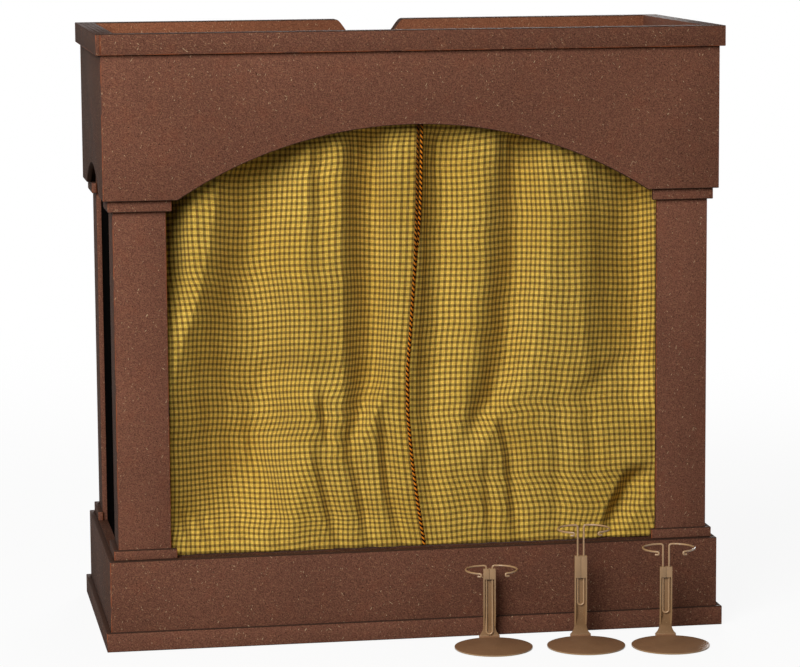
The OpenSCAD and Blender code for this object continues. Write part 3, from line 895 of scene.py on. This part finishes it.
# Hollows that run across, lower rim first. Each point: height, x, depth, width below and width above
LEFT_HOLLOWS = (
    (0.0, (
        (106, -106, 0, 26, 18), (117, -94, 4, 26, 22), (119, -78, 5.5, 24, 22), (116, -60, 4, 20, 18),
        (113, -48, 0, 18, 14),
    )),
)
RIGHT_HOLLOWS = (
    (0.0, ((97, 100, 0, 16, 13), (101, 116, 2, 16, 13), (115, 140, 2.2, 16, 13), (120, 158, 0, 16, 13))),
    (0.0, ((40, 132, 0, 12, 12), (40, 150, 3.6, 12, 12), (39, 166, 3, 12, 12), (39, 182, 0, 12, 12))),
)


def fold_depth(fold, across, along):
    """How far one fold pushes the cloth back."""
    sharp, points = fold
    table = np.array(points, float)
    first, last, half = -220.0, 360.0, 8
    run = np.arange(first, last + 1)
    window = np.hanning(2 * half + 3)[1:-1]
    line = []
    for column in (0, 2, 3, 4):
        values = np.interp(run, table[:, 1], table[:, column])
        values = np.convolve(np.pad(values, half, mode="edge"), window / window.sum(), mode="valid")
        line.append(np.interp(along, run, values))
    middle, depth, before, after = line
    offset = across - middle
    share = np.clip(1 - np.abs(offset) / np.where(offset < 0, before, after), 0.0, 1.0)
    steep = sharp * (offset < 0)
    return depth * ((1 - steep) * ease(share) + steep * (1 - (1 - share) ** 2))


def rumple(x, h):
    """Small uneven waves over the whole cloth, stronger near the rod, where it is gathered."""
    gather_h, gather_reach = 215.0, 90.0
    gather = ease((h - gather_h) / gather_reach)
    small = np.sin(0.31 * x + 0.9 * np.sin(0.043 * h)) * np.sin(0.052 * h + 0.11 * x)
    pleats = np.sin(0.74 * x + 1.3 * np.sin(0.05 * x)) + 0.6 * np.sin(1.13 * x + 0.4)
    cross = np.sin(0.21 * h + 0.09 * x) * np.sin(0.083 * x - 0.06 * h)
    return 0.36 * small + 0.55 * gather * pleats + 0.3 * cross


class THEATRE_OT_curtains(bpy.types.Operator):
    """Hangs the two gingham curtains on the rod"""

    bl_idname = "theatre.curtains"
    bl_label = "Curtains"

    def execute(self, context):
        looks = context.scene.theatre_curtains
        finish = gingham_finish(looks)
        for side in ("left", "right"):
            mesh, flat = curtain_mesh(side)
            piece = new_piece(f"gingham_curtain_{side}", mesh)
            piece.data.materials.append(finish)
            solid = piece.modifiers.new("thickness", "SOLIDIFY")
            solid.thickness = looks.thickness
            solid.offset = 0.0
            bpy.ops.object.modifier_apply(modifier=solid.name)
            bpy.ops.object.shade_smooth()
            stand_for(piece, f"curtain_{side}", "theatre")
            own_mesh(piece)
        return {"FINISHED"}


def sheet_rows():
    """Rows from the hem over the rod to the casing's seam: whether each hangs down, its y and height."""
    drop, arc, flap, hem = 230, 12, 8, 0.5
    rod_h = ROD_Z - FLOOR_Z
    rows = [(True, SHEET_Y, h) for h in np.linspace(hem, rod_h, drop + 1)]
    for k in range(1, arc + 1):
        a = math.pi * (1 - k / arc)
        rows.append((False, ROD_Y + CASING_R * math.cos(a), rod_h + CASING_R * math.sin(a)))
    for k in range(1, flap + 1):
        s = k / flap
        rows.append((False, ROD_Y + CASING_R + s * (-2 * CASING_R + FLAP_GAP), rod_h - s * CASING_DROP))
    return (np.array(column) for column in zip(*rows))


def off_seam(x, h):
    """0 at the seam between the curtains, and 1 a little way from it."""
    seam_reach = 10.0
    return ease(np.abs(x - seam_x(h)) / seam_reach)


def cloth_depth(side, x, h):
    """How far the folds push the cloth back: less at the hem, and not at all at the seam."""
    folds, hollows = (LEFT_FOLDS, LEFT_HOLLOWS) if side == "left" else (RIGHT_FOLDS, RIGHT_HOLLOWS)
    depth = sum(fold_depth(f, x, h) for f in folds) + sum(fold_depth(f, h, x) for f in hollows)
    settle = HEM_SHARE + (1 - HEM_SHARE) * ease(h / HEM_REACH)
    return (depth + rumple(x, h)) * off_seam(x, h) * settle


def cloth_swell(x, h):
    """How far the cloth swells forward above its hem, up to an uneven height."""
    uneven = 26.0 * np.sin(0.061 * x) + 18.0 * np.sin(0.023 * x + 1.0)
    return HEM_SWELL * (1 - ease(h / (SWELL_H + off_seam(x, h) * uneven)))


def clear_of_portal(x, y):
    """Keeps the cloth off the portal's back where it passes behind a pilaster."""
    pilaster_x, pilaster_reach, gap = 150.0, 12.0, 0.9
    front = PORTAL_BACK_Y + gap
    hidden = ease((np.abs(x) - pilaster_x) / pilaster_reach)
    return np.where(y < front, y + hidden * (front - y), y)


def curtain_mesh(side):
    """One curtain as a sheet with its weave's coordinates, and the width and length of the flat cloth."""
    columns, soften, casing_reach, left_lap, right_lap = 200, 4, 24.0, 0.6, 1.2
    hangs, row_y, row_h = sheet_rows()
    if side == "left":
        low, high = np.full_like(row_h, -CLOTH_END_X), seam_x(row_h) - left_lap
    else:
        low, high = seam_x(row_h) - right_lap, np.full_like(row_h, CLOTH_END_X)
    low, high = smoothed(low, soften), smoothed(high, soften)
    x = low[:, None] + (high - low)[:, None] * np.linspace(0.0, 1.0, columns + 1)[None, :]
    h = np.repeat(row_h[:, None], columns + 1, axis=1)
    free = ease((ROD_Z - FLOOR_Z - CASING_DROP - h) / casing_reach) * hangs[:, None]
    depth = free * cloth_depth(side, x, h)
    y = clear_of_portal(x, row_y[:, None] + depth - free * cloth_swell(x, h))
    points = np.stack([x, y, FLOOR_Z + h], axis=2) * MM
    across = run_length(points)
    width = float(across[:, -1].mean()) * FULLNESS
    across = across / across[:, -1:] * width
    up = run_length(points[:, columns // 2, :])
    sag = 0.8 * np.sin(0.052 * x + 0.7) + 0.5 * np.sin(0.117 * x + 0.013 * h)
    rise = up[:, None] + (sag + ROW_DROP * depth) * MM
    faces, uvs = [], []
    for j in range(len(row_h) - 1):
        for i in range(columns):
            corners = ((j, i), (j, i + 1), (j + 1, i + 1), (j + 1, i))
            faces.append(tuple(a * (columns + 1) + b for a, b in corners))
            uvs.extend(c for a, b in corners for c in (across[a, b], rise[a, b]))
    mesh = bpy.data.meshes.new(f"gingham_curtain_{side}")
    mesh.from_pydata([tuple(p) for p in points.reshape(-1, 3)], [], faces)
    mesh.uv_layers.new(name="weave").data.foreach_set("uv", uvs)
    mesh.update()
    return mesh, (round(width, 4), round(float(up[-1]), 4))


class THEATRE_OT_stands(bpy.types.Operator):
    """Rounds and enamels the doll stands and their wires"""

    bl_idname = "theatre.stands"
    bl_label = "Doll stands"

    def execute(self, context):
        looks = context.scene.theatre_stands
        enamel = enamel_finish("khaki_enamel", tuple(looks.khaki), 1.0, looks)
        disc_enamel = enamel_finish("disc_enamel", tuple(looks.disc), 0.12, looks)
        # Darker khaki for the channel's floor: painted shade
        channel_painted_shade = enamel_finish("channel_painted_shade", tuple(looks.channel), 0.35, looks)
        # Lighter khaki for the wires: painted light
        wire_painted_light = enamel_finish("wire_painted_light", tuple(looks.wire), 1.0, looks)
        rubbed = rubbed_finish(looks)
        for side in STANDS:
            stand = merged_copy(f"stand_{side}", f"pressed_stand_{side}")
            for finish in (enamel, rubbed, disc_enamel, channel_painted_shade):
                stand.data.materials.append(finish)
            self.paint(stand.data.polygons)
            rounded(stand, looks.edge_round, RUBBED)
            stand_for(stand, f"stand_{side}", f"{side}_stand")
            wire = merged_copy(f"wire_{side}", f"bent_wire_{side}")
            wire.data.materials.append(wire_painted_light)
            only(wire)
            bpy.ops.object.shade_smooth_by_angle(angle=math.radians(WIRE_SHARP_ANGLE))
            stand_for(wire, f"wire_{side}", f"{side}_wire")
        return {"FINISHED"}

    def paint(self, faces):
        """Picks the finish of the disc's upper face, of the channel's floor, which carries painted shade,
        and of the rest.
        """
        tilt = 0.2
        upright = [f for f in faces if f.normal.y < -FACING and f.center.z > UPRIGHT_FOOT * MM]
        deepest = max(f.center.y for f in upright)
        for face in faces:
            low = face.normal.z > tilt and face.center.z < DISC_TOP * MM
            face.material_index = DISC if low else KHAKI
        # The channel's floor takes the painted shade
        for face in upright:
            if face.center.y > deepest - CHANNEL_SLACK * MM:
                face.material_index = CHANNEL


class THEATRE_PT_panel(bpy.types.Panel):
    """Lists the steps that dress the theatre"""

    bl_idname = "THEATRE_PT_panel"
    bl_label = "Toy theatre"
    bl_space_type = "VIEW_3D"
    bl_region_type = "UI"
    bl_category = "Theatre"

    def draw(self, context):
        for step in STEPS:
            self.layout.operator(step.bl_idname)


STEPS = (
    THEATRE_OT_stage, THEATRE_OT_cords, THEATRE_OT_boards, THEATRE_OT_wings,
    THEATRE_OT_rod, THEATRE_OT_curtains, THEATRE_OT_stands,
)
GROUPS = {
    "theatre_boards": TheatreBoardLooks,
    "theatre_curtains": TheatreCurtainLooks,
    "theatre_stands": TheatreStandLooks,
}


def register():
    for group in GROUPS.values():
        bpy.utils.register_class(group)
    for step in STEPS:
        bpy.utils.register_class(step)
    bpy.utils.register_class(THEATRE_PT_panel)
    for name, group in GROUPS.items():
        setattr(bpy.types.Scene, name, bpy.props.PointerProperty(type=group))


def unregister():
    for name in GROUPS:
        delattr(bpy.types.Scene, name)
    bpy.utils.unregister_class(THEATRE_PT_panel)
    for step in reversed(STEPS):
        bpy.utils.unregister_class(step)
    for group in GROUPS.values():
        bpy.utils.unregister_class(group)


def main():
    register()
    for step in STEPS:
        group, name = step.bl_idname.split(".")
        getattr(getattr(bpy.ops, group), name)()


if __name__ == "__main__":
    main()
